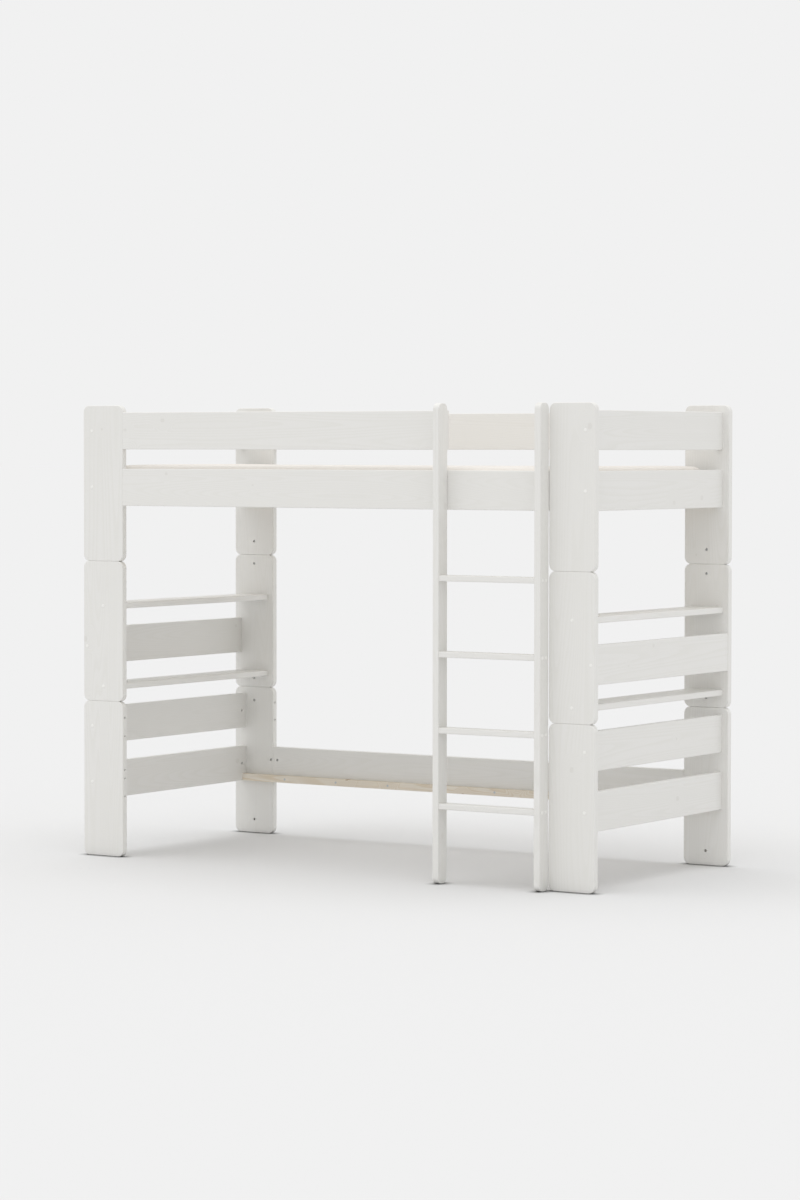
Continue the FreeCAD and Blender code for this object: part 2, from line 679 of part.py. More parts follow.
def caps(name, seats, head_height):
    """Domed cover caps on the heads of bolts or screws, each a disc with a rounded rim."""
    members = []
    for index, (point, direction) in enumerate(seats):
        back = OPPOSITE[direction]
        disc = cylinder(f"{name}_disc_{index + 1}", shifted(point, back, head_height), back,
                        "cap_width - 2*cap_play", "cap_seat")
        dome = doc.addObject("Part::Cone", f"{name}_dome_{index + 1}")
        bind(dome, "Radius1", "cap_width/2 - cap_play")
        bind(dome, "Radius2", "cap_width/2 - cap_proud")
        bind(dome, "Height", "cap_proud")
        dome.Placement.Rotation = FreeCAD.Rotation(FreeCAD.Vector(0, 0, 1), DIRECTIONS[back])
        place(dome, *shifted(point, back, f"{head_height} + cap_seat"))
        cap = doc.addObject("Part::Fuse", f"{name}_{index + 1}")
        cap.Base = disc
        cap.Tool = dome
        members.append(cap)
    return members


def barrel_nut(name, middle, direction, bolt_direction):
    """A barrel nut about a middle point, with the threaded cross bore for its bolt."""
    nut = doc.addObject("Part::Cut", name)
    nut.Base = cylinder(f"{name}_barrel", shifted(middle, OPPOSITE[direction], "nut_length/2"),
                        direction, "nut_width", "nut_length")
    nut.Tool = cylinder(f"{name}_thread",
                        shifted(middle, OPPOSITE[bolt_direction], "nut_width"),
                        bolt_direction, "bolt_shank + 2*thread_play", "2*nut_width")
    return nut


def end_bolt_seats(pieces):
    """Seats of the bolts that come through the posts: a point on the counterbore's floor."""
    seats = []
    for inset, height in pieces:
        for side in END_SIDES:
            for row in ROWS:
                point = (from_end(side, inset), from_face(row, COUNTERBORE), height)
                seats.append((point, "+Y" if row == "front" else "-Y"))
    return seats


def rail_bolt_seats(names):
    """Seats of the bolts or screws of some of the end rails."""
    return end_bolt_seats([(f"{inset} + board/2", f"{foot} + rail_height/2")
                           for foot, inset in (END_RAILS[name] for name in names)])


RAIL_SEATS = rail_bolt_seats([name for name in END_RAILS if name != "middle"])
MIDDLE_RAIL_SEATS = rail_bolt_seats(["middle"])
SHELF_SEATS = end_bolt_seats([("shelf_inset + shelf_width/2", f"{foot} + shelf_thickness/2")
                              for foot in SHELVES.values()])
BED_RAILS = [("front", BED_RAIL_FOOT), ("back", BED_RAIL_FOOT), ("back", "low_rail_rise")]


def post_joints():
    """Row, side and height of every joint between two sections of a post."""
    return [(row, side, height) for row in ROWS for side in END_SIDES
            for height in (TIER_FOOT["middle"], TIER_FOOT["upper"])]


def post_rods():
    """Threaded rods that hold the sections of a post together."""
    rods = []
    for index, (row, side, height) in enumerate(post_joints()):
        upper = height == TIER_FOOT["upper"]
        below = "middle_nut_rise" if upper else "end_nut_rise"
        point = (from_end(side, "post_width/2"), from_face(row, "board/2"),
                 f"{height} - {below} - bolt_run")
        rods.append(cylinder(f"post_rod_{index + 1}", point, "+Z", "bolt_shank",
                             "end_nut_rise + middle_nut_rise + 2*bolt_run"))
    return rods


def post_dowels():
    """Two dowels in every joint of a post."""
    dowels = []
    for row, side, height in post_joints():
        for sign in "-+":
            point = (from_end(side, f"post_width/2 {sign} post_dowel_spread"),
                     from_face(row, "board/2"), f"{height} - dowel_depth")
            dowels.append(cylinder(f"post_dowel_{len(dowels) + 1}", point, "+Z", "dowel_width",
                                   "2*dowel_depth"))
    return dowels


def long_rods():
    """Threaded rods that draw the bed rails to the posts."""
    rods = []
    for row, foot in BED_RAILS:
        for side in END_SIDES:
            direction = "+X" if side == "left" else "-X"
            point = (from_end(side, "post_width - edge_nut_inset - bolt_run"),
                     from_face(row, "board/2"), f"{foot} + rail_height/2 + long_bolt_lift")
            rods.append(cylinder(f"long_rod_{len(rods) + 1}", point, direction, "bolt_shank",
                                 "edge_nut_inset + long_nut_inset + 2*bolt_run"))
    return rods


def long_dowels():
    """Two dowels in each end of a long rail that meets a post."""
    ends = [(row, side, foot, "bed_dowel_spread") for row, foot in BED_RAILS
            for side in END_SIDES]
    ends += [("back", side, GUARD_RAIL_FOOT, "guard_dowel_spread") for side in END_SIDES]
    ends += [("front", "left", GUARD_RAIL_FOOT, "guard_dowel_spread")]
    dowels = []
    for row, side, foot, spread in ends:
        for sign in "-+":
            point = (from_end(side, "post_width - dowel_depth"), from_face(row, "board/2"),
                     f"{foot} + rail_height/2 {sign} {spread}")
            dowels.append(cylinder(f"long_dowel_{len(dowels) + 1}", point,
                                   "+X" if side == "left" else "-X", "dowel_width",
                                   "2*dowel_depth"))
    return dowels


def barrel_nuts():
    """Every barrel nut: in the posts, in the long rails, in the end rails and in the shelves."""
    spots = []
    for row, side, height in post_joints():
        upper = height == TIER_FOOT["upper"]
        below, above = "end_nut_rise", "middle_nut_rise"
        if upper:
            below, above = above, below
        for z in (f"{height} - {below}", f"{height} + {above}"):
            point = (from_end(side, "post_width/2"), from_face(row, "board/2"), z)
            spots.append((point, "+Y", "+Z"))
    for row, foot in BED_RAILS:
        for side in END_SIDES:
            for distance in ("post_width - edge_nut_inset", "post_width + long_nut_inset"):
                point = (from_end(side, distance), from_face(row, "board/2"),
                         f"{foot} + rail_height/2 + long_bolt_lift")
                spots.append((point, "+Y", "+X"))
    for seats, direction in ((RAIL_SEATS, "+X"), (SHELF_SEATS, "+Z")):
        for (x, _, z), bolt_direction in seats:
            row = "front" if bolt_direction == "+Y" else "back"
            point = (x, from_face(row, "board + rail_nut_inset"), z)
            spots.append((point, direction, "+Y"))
    return [barrel_nut(f"barrel_nut_{index + 1}", *spot) for index, spot in enumerate(spots)]


def rung_screw_seats():
    """Seats of the screws that come through the stiles into the rungs."""
    seats = []
    for side, inwards in (("left", "+X"), ("right", "-X")):
        outer = LEFT_STILE if side == "left" else f"{RIGHT_STILE} + stile_width"
        for index in range(count("rung_count")):
            for y in rung_screw_depths():
                point = (outer, from_face("front", f"{y} - stile_depth"),
                         f"{rung_foot(index)} + rung_thickness/2")
                seats.append((shifted(point, inwards, "cap_seat + screw_head_height"), inwards))
    return seats


def wood_screws(name, seats, length):
    """Wood screws of one length on a list of seats."""
    return [headed(f"{name}_{index + 1}", point, direction, "screw_shank", length, "screw_head",
                   "screw_head_height") for index, (point, direction) in enumerate(seats)]


def ladder_screw_seats():
    """Seats of the screws that hold the ladder to the front rails, put in from behind."""
    spots = [(line, z) for line in BED_SCREW_LINES for z in ladder_screw_heights(BED_RAIL_FOOT)]
    spots += [(GUARD_SCREW_LINE, z) for z in ladder_screw_heights(GUARD_RAIL_FOOT)]
    return [((line, from_face("front", "board - screw_head_height"), z), "-Y")
            for line, z in spots]


def batten_screw_seats():
    """Seats of the screws that hold the battens to their rails."""
    seats = []
    for row, foot in BED_RAILS:
        for index in range(count("batten_screw_count")):
            point = (batten_screw_x(index),
                     from_face(row, "board + batten_depth - screw_head_height"),
                     f"{foot} + batten_height/2")
            seats.append((point, "-Y" if row == "front" else "+Y"))
    return seats


# ---------------------------------------------------------------------------
# The bed
# ---------------------------------------------------------------------------
nodes = [post_section(row, side, tier) for row in ROWS for side in END_SIDES for tier in TIERS]

front_bed = bed_rail("front_bed_rail", "front", BED_RAIL_FOOT)
bore_for_ladder(front_bed, "ladder_screw", from_end("left", "post_width"), BED_SCREW_LINES)
nodes.append(front_bed)
nodes.append(bed_rail("back_bed_rail", "back", BED_RAIL_FOOT))
nodes.append(bed_rail("back_low_rail", "back", "low_rail_rise"))

front_guard_length = f"{LEFT_STILE} + guard_overlap - ({from_end('left', 'post_width')})"
front_guard = guard_rail("front_guard_rail", "front", front_guard_length, ("left",))
bore_for_ladder(front_guard, "ladder_screw", from_end("left", "post_width"), [GUARD_SCREW_LINE])
nodes.append(front_guard)
nodes.append(guard_rail("back_guard_rail", "back", LONG_RAIL_LENGTH, ("left", "right")))

nodes += [end_rail(side, name) for side in END_SIDES for name in END_RAILS]
nodes += [end_shelf(side, name) for side in END_SIDES for name in SHELVES]
nodes += [ladder_stile(side) for side in END_SIDES]
nodes += [ladder_rung(index) for index in range(count("rung_count"))]

nodes.append(batten("front_bed_batten", "front", BED_RAIL_FOOT))
nodes.append(batten("back_bed_batten", "back", BED_RAIL_FOOT))
nodes.append(batten("back_low_batten", "back", "low_rail_rise"))
nodes.append(slats())
nodes += [slat_band(row) for row in ROWS]
nodes.append(mattress())

nodes.append(group("end_rail_bolts", bolt_row("end_rail_bolt", RAIL_SEATS, END_BOLT_LENGTH)))
nodes.append(group("middle_rail_screws",
                   bolt_row("middle_rail_screw", MIDDLE_RAIL_SEATS, "middle_screw_length")))
nodes.append(group("shelf_bolts", bolt_row("shelf_bolt", SHELF_SEATS, END_BOLT_LENGTH)))
nodes.append(group("bolt_caps", caps("bolt_cap", RAIL_SEATS + MIDDLE_RAIL_SEATS + SHELF_SEATS,
                                     "head_height")))
nodes.append(group("post_joint_rods", post_rods()))
nodes.append(group("post_joint_dowels", post_dowels()))
nodes.append(group("long_rail_rods", long_rods()))
nodes.append(group("long_rail_dowels", long_dowels()))
nodes.append(group("barrel_nuts", barrel_nuts()))
rung_seats = rung_screw_seats()
nodes.append(group("rung_screws", wood_screws("rung_screw", rung_seats, "rung_screw_length")))
nodes.append(group("rung_screw_caps", caps("rung_screw_cap", rung_seats, "screw_head_height")))
nodes.append(group("ladder_screws",
                   wood_screws("ladder_screw", ladder_screw_seats(), "ladder_screw_length")))
nodes.append(group("batten_screws",
                   wood_screws("batten_screw", batten_screw_seats(), "batten_screw_length")))

# ---------------------------------------------------------------------------
# Check every object, then write one file for each node
# ---------------------------------------------------------------------------
doc.recompute()
for item in doc.Objects:
    if "Invalid" in item.State or "Error" in item.State:
        raise RuntimeError(f"{item.Label} failed: {item.State}")
for node in nodes:
    if node.Shape.isNull() or not node.Shape.isValid():
        raise RuntimeError(f"{node.Label} has no valid shape")

os.makedirs("parts", exist_ok=True)
for node in nodes:
    node.Shape.exportStep(f"parts/{node.Label}.step")

print(f"{len(nodes)} nodes, {sum(len(node.Shape.Solids) for node in nodes)} solids")
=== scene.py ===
# %% [markdown]
# # A loft bed of white lacquered pine
# The bed's boards, bolts and caps come in from the CAD model and stay exactly where they are.
# This file gives each of them the finish of the real thing, makes the soft and woven pieces that
# CAD leaves plain, and sets up a pale studio. All lengths are in metres. X runs along the bed,
# Y from the ladder to the wall side, and Z up.

import math

import bmesh
import bpy
from mathutils import Matrix, Vector


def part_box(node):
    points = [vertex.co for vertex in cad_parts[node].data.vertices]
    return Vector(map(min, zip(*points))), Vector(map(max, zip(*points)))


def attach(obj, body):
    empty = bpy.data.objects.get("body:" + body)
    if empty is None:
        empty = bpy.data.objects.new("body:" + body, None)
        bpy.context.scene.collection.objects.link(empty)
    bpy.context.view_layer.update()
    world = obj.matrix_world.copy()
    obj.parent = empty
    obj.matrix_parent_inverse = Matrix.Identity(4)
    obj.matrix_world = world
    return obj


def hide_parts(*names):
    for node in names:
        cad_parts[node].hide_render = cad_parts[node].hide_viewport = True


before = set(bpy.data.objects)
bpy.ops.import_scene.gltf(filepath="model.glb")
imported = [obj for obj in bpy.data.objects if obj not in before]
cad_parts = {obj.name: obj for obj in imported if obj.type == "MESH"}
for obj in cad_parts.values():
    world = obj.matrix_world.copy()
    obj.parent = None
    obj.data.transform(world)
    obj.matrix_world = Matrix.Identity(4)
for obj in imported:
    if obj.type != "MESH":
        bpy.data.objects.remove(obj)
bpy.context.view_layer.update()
bpy.ops.object.select_all(action="DESELECT")
print(len(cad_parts), "CAD nodes loaded")

# %% [markdown]
# ## Two helpers for materials
# A finish is a small network of nodes. One function turns the colours that a paint card or a
# screen gives into the linear values that the renderer counts in. The other adds a node with its
# settings, joins up whatever it is fed with, and gives back the output that the next node needs.

# %% Colour and node helpers
def linear(hex_colour):
    """Turns an sRGB hex colour into linear red, green, blue and alpha."""
    channels = [int(hex_colour[i:i + 2], 16) / 255 for i in (1, 3, 5)]
    return tuple(c / 12.92 if c <= 0.04045 else ((c + 0.055) / 1.055) ** 2.4
                 for c in channels) + (1.0,)


def add(tree, kind, inputs=(), out=0, **settings):
    """Adds a node and gives one of its outputs. Inputs are numbers, colours or other outputs."""
    made = tree.nodes.new("ShaderNode" + kind)
    for name, value in settings.items():
        setattr(made, name, value)
    for name, value in inputs.items() if isinstance(inputs, dict) else enumerate(inputs):
        if isinstance(value, bpy.types.NodeSocket):
            tree.links.new(value, made.inputs[name])
        else:
            made.inputs[name].default_value = value
    return made.outputs[out]


def new_material(name):
    """An empty material, its tree, and the place of a surface point in the bed."""
    material = bpy.data.materials.new(name)
    material.use_nodes = True
    tree = material.node_tree
    tree.nodes.clear()
    return material, tree, add(tree, "TexCoord", out="Object")


def finish_material(tree, shader):
    """Joins a material's shader to its output."""
    output = tree.nodes.new("ShaderNodeOutputMaterial")
    tree.links.new(shader, output.inputs["Surface"])


print("helpers ready, mid grey is", round(linear("#808080")[0], 3))

# %% [markdown]
# ## The grain of a pine board
# A flat-sawn board cuts the tree's year rings at a low angle, so its face shows long arches and
# islands. Those are the contour lines of a smooth height map that is stretched along the grain,
# and that is how they are drawn here: a noise, stretched, multiplied by the number of rings, and
# cut into repeating ramps. Knots are spots that go straight through the board, so they are found
# in two directions only, and they lift the height map so that the rings flow round them.
# Boards that were not cut from one plank must not share one run of grain, so the pattern jumps
# to another part of the wood at every joint of a post, and from one layer of boards to the next.

# %% Real sizes of pine
RING_SPREAD = 0.085       # how far apart the arches of the grain lie, across the board
RING_LENGTH = 1.5         # how long they are along it
RINGS_PER_HEIGHT = 26.0   # gives rings of three to five millimetres
RIPPLE_WIDTH = 0.016      # small unevenness of the rings
RIPPLE_LENGTH = 0.22
KNOT_CELL = 0.15          # at most one knot in a patch of this size
KNOT_SIZE = 0.0065        # radius of a knot
FIBRE = 0.0012            # width of a streak of fibres, drawn wider than the real 0.05 mm
KNOT_PULL = 0.30          # how far a knot lifts the rings, in heights of the map
KNOT_PULL_REACH = 6.5     # how far out it does so, in radii of the knot
RING_RISE = 0.25          # where in a ring the late wood begins
RING_EDGE = 0.88          # where it ends, which it does sharply
LAYER = 0.24              # boards further apart than this have their own grain
LAYER_JUMP = 2.17         # how far along the grain jumps from one layer to the next
SECTION_JUMP = 0.731      # how far across it jumps at a joint of a post
SECTION_JOINTS = [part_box("post_front_left_" + part)[1].z for part in ("lower", "middle")]


def board_axes(tree, place, directions, restart_at=(), layer=LAYER):
    """Splits a point into its place along, across and through a board."""
    split = add(tree, "SeparateXYZ", [place]).node
    along, across, through = (split.outputs[axis] for axis in directions)
    for height in restart_at:
        above = add(tree, "Math", (along, height), operation="GREATER_THAN")
        across = add(tree, "Math", (above, SECTION_JUMP, across), operation="MULTIPLY_ADD")
    step = add(tree, "Math", (through, layer), operation="DIVIDE")
    step = add(tree, "Math", [step], operation="ROUND")
    along = add(tree, "Math", (step, LAYER_JUMP, along), operation="MULTIPLY_ADD")
    return along, across, through


def stretched_noise(tree, axes, length, width, detail=0.0):
    """A noise whose patches have one length along the grain and one width across it."""
    where = [add(tree, "Math", (axis, size), operation="DIVIDE")
             for axis, size in zip(axes, (length, width, width))]
    where = add(tree, "CombineXYZ", where)
    return add(tree, "TexNoise", {"Vector": where, "Scale": 1.0, "Detail": detail})


def knots(tree, axes, share):
    """How much of a knot is at a point, and how far the rings are lifted round it."""
    along = add(tree, "Math", (axes[0], KNOT_CELL * 1.25), operation="DIVIDE")
    across = add(tree, "Math", (axes[1], KNOT_CELL), operation="DIVIDE")
    where = add(tree, "CombineXYZ", (along, across))
    cells = add(tree, "TexVoronoi", {"Vector": where, "Scale": 1.0, "Randomness": 0.9},
                voronoi_dimensions="2D").node
    pick = add(tree, "SeparateColor", [cells.outputs["Color"]]).node
    chosen = add(tree, "Math", (pick.outputs[0], share), operation="LESS_THAN")
    radius = add(tree, "MapRange", (pick.outputs[1], 0.0, 1.0, 0.5 * KNOT_SIZE / KNOT_CELL,
                                    1.5 * KNOT_SIZE / KNOT_CELL))
    gap = add(tree, "Math", (cells.outputs["Distance"], radius), operation="DIVIDE")
    core = add(tree, "MapRange", (gap, 0.75, 1.25, 1.0, 0.0), interpolation_type="SMOOTHSTEP")
    core = add(tree, "Math", (core, chosen), operation="MULTIPLY")
    lift = add(tree, "MapRange", (gap, 0.0, KNOT_PULL_REACH, KNOT_PULL, 0.0),
               interpolation_type="SMOOTHSTEP")
    lift = add(tree, "Math", (lift, chosen), operation="MULTIPLY")
    return core, lift


def year_rings(tree, axes, lift):
    """The late wood of the rings: 0 in the pale early wood, 1 at its sharp dark edge."""
    height = stretched_noise(tree, axes, RING_LENGTH, RING_SPREAD)
    ripple = stretched_noise(tree, axes, RIPPLE_LENGTH, RIPPLE_WIDTH, detail=1.0)
    height = add(tree, "Math", (ripple, 0.02, height), operation="MULTIPLY_ADD")
    height = add(tree, "Math", (height, lift), operation="ADD")
    ramp = add(tree, "Math", (height, RINGS_PER_HEIGHT), operation="MULTIPLY")
    ramp = add(tree, "Math", [ramp], operation="FRACT")
    rise = add(tree, "MapRange", (ramp, RING_RISE, RING_EDGE), interpolation_type="SMOOTHSTEP")
    fall = add(tree, "MapRange", (ramp, RING_EDGE, 1.0, 1.0, 0.0),
               interpolation_type="SMOOTHSTEP")
    return add(tree, "Math", (rise, fall), operation="MULTIPLY")


print("rings", round(RING_SPREAD * 1000 / RINGS_PER_HEIGHT, 1), "mm apart at the closest")
print("post joints at", [round(z, 3) for z in SECTION_JOINTS])

# %% [markdown]
# ## White lacquered pine, and bare pine
# Most boards are under a thin white lacquer that lets a little of the grain through. Its film is
# thin enough to follow the wood, so the rings also show as relief in the gloss. The battens and
# the slats are planed and left bare: the late wood shows as honey coloured lines, the knots are
# a dull brown, and with no film to shine the wood is rougher. Both are one network with its own
# colours and strengths.

# %% The finish of a board
LACQUERED = {"early": "#E9E8E5", "late": "#E6E5E1", "warm": "#E7E6E2", "knot": "#CECBC4",
             "patches": 0.7, "streaks": 0.06, "knots": 0.26, "share": 0.22, "relief": 0.06,
             "smooth": 0.40, "rough": 0.52, "ior": 1.50}
BARE = {"early": "#EDE6DA", "late": "#DED0BA", "warm": "#E7DECE", "knot": "#A98C6C",
        "patches": 0.8, "streaks": 0.16, "knots": 0.75, "share": 0.35, "relief": 0.40,
        "smooth": 0.55, "rough": 0.70, "ior": 1.45}


def pine(name, look, directions, restart_at=(), layer=LAYER):
    """A pine board's finish. Directions are its axes along, across and through the board."""
    material, tree, place = new_material(name)
    axes = board_axes(tree, place, directions, restart_at, layer)
    knot, lift = knots(tree, axes, look["share"])
    late = year_rings(tree, axes, lift)
    fibres = stretched_noise(tree, axes, FIBRE * 60, FIBRE, detail=2.0)
    patches = stretched_noise(tree, axes, 0.6, 0.2, detail=1.0)

    shares = (
        (late, "late"),
        (add(tree, "MapRange", (patches, 0.35, 0.75, 0.0, look["patches"])), "warm"),
        (add(tree, "MapRange", (fibres, 0.35, 0.80, 0.0, look["streaks"])), "knot"),
        (add(tree, "Math", (knot, look["knots"]), operation="MULTIPLY"), "knot"),
    )
    colour = linear(look["early"])
    for share, tone in shares:
        colour = add(tree, "Mix", {0: share, 6: colour, 7: linear(look[tone])}, out=2,
                     data_type="RGBA")

    relief = add(tree, "Math", (late, 0.5, knot), operation="MULTIPLY_ADD")
    relief = add(tree, "Math", (fibres, 0.4, relief), operation="MULTIPLY_ADD")
    normal = add(tree, "Bump", {"Height": relief, "Strength": look["relief"],
                                "Distance": 0.0004})
    rough = add(tree, "MapRange", (fibres, 0.2, 0.8, look["smooth"], look["rough"]))
    shader = add(tree, "BsdfPrincipled", {"Base Color": colour, "Roughness": rough,
                                          "IOR": look["ior"], "Normal": normal})
    finish_material(tree, shader)
    return material


# %% Every kind of board has its own direction of grain
post_finish = pine("lacquered_pine_posts", LACQUERED, "ZXY", SECTION_JOINTS)
long_rail_finish = pine("lacquered_pine_long_rails", LACQUERED, "XZY")
end_rail_finish = pine("lacquered_pine_end_rails", LACQUERED, "YZX")
shelf_finish = pine("lacquered_pine_shelves", LACQUERED, "YXZ")
stile_finish = pine("lacquered_pine_stiles", LACQUERED, "ZYX")
rung_finish = pine("lacquered_pine_rungs", LACQUERED, "XYZ")
batten_finish = pine("bare_pine_battens", BARE, "XZY")
slat_finish = pine("bare_pine_slats", BARE, "YXZ", layer=0.5)
print("pine has", len(post_finish.node_tree.nodes), "nodes")

# %% [markdown]
# ## Steel, plastic and beech
# Rods, bolts and screws are mild steel with a bright zinc plating, which is faintly cloudy and
# marked by tumbling. The cover caps are moulded plastic with the fine grain of their mould. The
# dowels are turned beech, with short dark flecks on an even ground. All three are two noises of
# different sizes: one moves the colour, the other the relief and the roughness.

# %% Small parts
def small_part(name, tones, cloud_scale, grain_scale, grain_depth, rough, **constants):
    """A material with a cloudy colour and a fine grain."""
    material, tree, place = new_material(name)
    cloud = add(tree, "TexNoise", {"Vector": place, "Scale": cloud_scale, "Detail": 3.0})
    grain = add(tree, "TexNoise", {"Vector": place, "Scale": grain_scale, "Detail": 2.0})
    colour = linear(tones[0])
    flecks = add(tree, "MapRange", (grain, 0.60, 0.72, 0.0, 0.6))
    for share, tone in zip((cloud, flecks), tones[1:]):
        colour = add(tree, "Mix", {0: share, 6: colour, 7: linear(tone)}, out=2,
                     data_type="RGBA")
    normal = add(tree, "Bump", {"Height": grain, "Strength": 0.2, "Distance": grain_depth})
    roughness = add(tree, "MapRange", (cloud, 0.2, 0.8, rough - 0.06, rough + 0.06))
    inputs = {"Base Color": colour, "Roughness": roughness, "Normal": normal}
    finish_material(tree, add(tree, "BsdfPrincipled", inputs | constants))
    return material


steel_finish = small_part("zinc_plated_steel", ("#B9BCC1", "#D2D3D0"), 180, 2500, 0.0001, 0.34,
                          Metallic=1.0)
cap_finish = small_part("moulded_white_cap", ("#F6F5F2", "#EFEEEA"), 90, 1600, 0.0001, 0.44,
                        IOR=1.53)
dowel_finish = small_part("turned_beech", ("#D8B88E", "#C9A478", "#9A7048"), 60, 700, 0.0002,
                          0.60, IOR=1.45)
print("small parts have their finishes")

# %% [markdown]
# ## Woven cloth
# The mattress cover and the webbing are both woven. Their threads cross at right angles, which
# two sine waves multiplied together give, one along each direction. A third direction is added
# for the sides. Real threads are half a millimetre apart, too fine to show from across a room, so
# they are drawn coarser here. Fuzz on the threads catches light at a grazing angle: that is sheen.

# %% The cloth's finish
def woven_cloth(name, thread, pale, dark, depth, sheen):
    """Plain weave in an even cloth, with threads that are a given distance apart."""
    material, tree, place = new_material(name)
    split = add(tree, "SeparateXYZ", [place]).node
    waves = []
    for axis in "XYZ":
        turns = add(tree, "Math", (split.outputs[axis], 2 * math.pi / thread),
                    operation="MULTIPLY")
        waves.append(add(tree, "Math", [turns], operation="SINE"))
    weave = 0.0
    for one, other in ((0, 1), (1, 2), (2, 0)):
        weave = add(tree, "Math", (waves[one], waves[other], weave), operation="MULTIPLY_ADD")
    slubs = add(tree, "TexNoise", {"Vector": place, "Scale": 0.35 / thread, "Detail": 3.0})
    cloud = add(tree, "TexNoise", {"Vector": place, "Scale": 6.0, "Detail": 2.0})
    shares = (
        (add(tree, "MapRange", (weave, -1.0, 1.0, 0.0, 0.45)), dark),
        (add(tree, "MapRange", (slubs, 0.45, 0.80, 0.0, 0.50)), dark),
        (add(tree, "MapRange", (cloud, 0.30, 0.80, 0.0, 0.30)), pale),
    )
    colour = linear(pale)
    for share, tone in shares:
        colour = add(tree, "Mix", {0: share, 6: colour, 7: linear(tone)}, out=2,
                     data_type="RGBA")
    height = add(tree, "Math", (slubs, 0.8, weave), operation="MULTIPLY_ADD")
    normal = add(tree, "Bump", {"Height": height, "Strength": 0.5, "Distance": depth})
    shader = add(tree, "BsdfPrincipled",
                 {"Base Color": colour, "Roughness": 0.9, "IOR": 1.45, "Sheen Weight": sheen,
                  "Sheen Roughness": 0.5, "Normal": normal})
    finish_material(tree, shader)
    return material


cover_finish = woven_cloth("woven_cotton_cover", 0.0024, "#F0EBE5", "#E7E0D6", 0.0004, 0.25)
webbing_finish = woven_cloth("woven_cotton_webbing", 0.0020, "#EDE8DC", "#CFC7B4", 0.0003, 0.15)
piping_finish = woven_cloth("woven_cotton_piping", 0.0012, "#F0EAE0", "#E2D9CA", 0.0002, 0.2)
print("cloth finishes made")

# %% [markdown]
# ## Give every board its finish
# A CAD node keeps its shape and only gets a new material.

# %% Hand out the finishes
def finish_for(node):
    """Picks the finish of a CAD node by its name."""
    if node.endswith(("bolts", "screws", "rods", "nuts")):
        return steel_finish
    if node.endswith("dowels"):
        return dowel_finish
    if node.endswith("caps"):
        return cap_finish
    if node.endswith("batten"):
        return batten_finish
    if node == "slats":
        return slat_finish
    if node.startswith("slat_band"):
        return webbing_finish
    if node == "mattress":
        return cover_finish
    if node.startswith("post_"):
        return post_finish
    if node.startswith("ladder_stile"):
        return stile_finish
    if node.startswith("ladder_rung"):
        return rung_finish
    if node.endswith("shelf"):
        return shelf_finish
    if node.startswith(("left_", "right_")):
        return end_rail_finish
    return long_rail_finish


for node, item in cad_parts.items():
    item.data.materials.clear()
    item.data.materials.append(finish_for(node))
print("finishes handed out")

# %% [markdown]
# ## The mattress
# A foam mattress in a sewn cover: two halves that meet in a piped seam round the middle of its
# sides, with soft shoulders, and stitched through in channels across its width. Foam pushes the
# cover out between the stitches. A block is rounded, turned into an even mesh, held along its
# seam and its channels, and blown up a little as a cloth, which gives the soft crowns that hand
# modelling would have to guess. The result is scaled back so that the cover just fills its place
# between the rails, and its underside lies flat on the slats.

# %% The space the mattress has
MATTRESS_LOW, MATTRESS_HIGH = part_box("mattress")
COVER_SLACK = 0.004       # the block starts this much inside its space, and moves no further
SIDE_CORNER = 0.045       # radius of the corners, seen from above
EDGE_ROUND = 0.030        # radius of the upper and the lower edge
MESH_STEP = 0.013         # distance between the points of the even mesh
NEAR_STITCH = MESH_STEP * 0.6
CHANNEL_COUNT = 9         # rows of stitching across the width
CHANNEL_HOLD = 0.9        # a channel gives a little, the seam doesn't
PUFF_FRAMES = 20
middle = (MATTRESS_LOW + MATTRESS_HIGH) / 2
block_low = MATTRESS_LOW + Vector((COVER_SLACK, COVER_SLACK, 0.0))
block_high = MATTRESS_HIGH - Vector((COVER_SLACK, COVER_SLACK, COVER_SLACK))
print("mattress space", [round(v, 3) for v in MATTRESS_HIGH - MATTRESS_LOW])

# %% Two helpers for pieces made by hand
def settle(piece):
    """Puts an object's place, turn and size into its mesh, so that its origin is the world's."""
    bpy.ops.object.select_all(action="DESELECT")
    piece.select_set(True)
    bpy.context.view_layer.objects.active = piece
    bpy.ops.object.transform_apply(location=True, rotation=True, scale=True)


def select_edges(piece, test):
    """In edit mode, selects the edges whose two ends pass a test."""
    bpy.ops.mesh.select_all(action="DESELECT")
    bpy.ops.mesh.select_mode(type="EDGE")
    shape = bmesh.from_edit_mesh(piece.data)
    for edge in shape.edges:
        edge.select = test(edge.verts[0].co, edge.verts[1].co)
    bmesh.update_edit_mesh(piece.data)


print("modelling helpers ready")

# %% Round a block and give it an even mesh
bpy.ops.mesh.primitive_cube_add(size=1.0, location=(block_low + block_high) / 2,
                                scale=block_high - block_low)
mattress = bpy.context.active_object
mattress.name = "mattress_cover"
settle(mattress)
bpy.ops.object.mode_set(mode="EDIT")
select_edges(mattress, lambda a, b: abs(a.z - b.z) > 0.05)
bpy.ops.mesh.bevel(offset=SIDE_CORNER, segments=7, affect="EDGES")
select_edges(mattress, lambda a, b: abs(a.z - b.z) < 0.001)
bpy.ops.mesh.bevel(offset=EDGE_ROUND, segments=5, affect="EDGES")
bpy.ops.object.mode_set(mode="OBJECT")
remesh = mattress.modifiers.new("even mesh", "REMESH")
remesh.mode = "VOXEL"
remesh.voxel_size = MESH_STEP
bpy.ops.object.modifier_apply(modifier=remesh.name)
print("mattress mesh", len(mattress.data.vertices), "points")

# %% Hold the seam and the channels
CHANNELS = [block_low.x + (block_high.x - block_low.x) * (i + 1) / (CHANNEL_COUNT + 1)
            for i in range(CHANNEL_COUNT)]


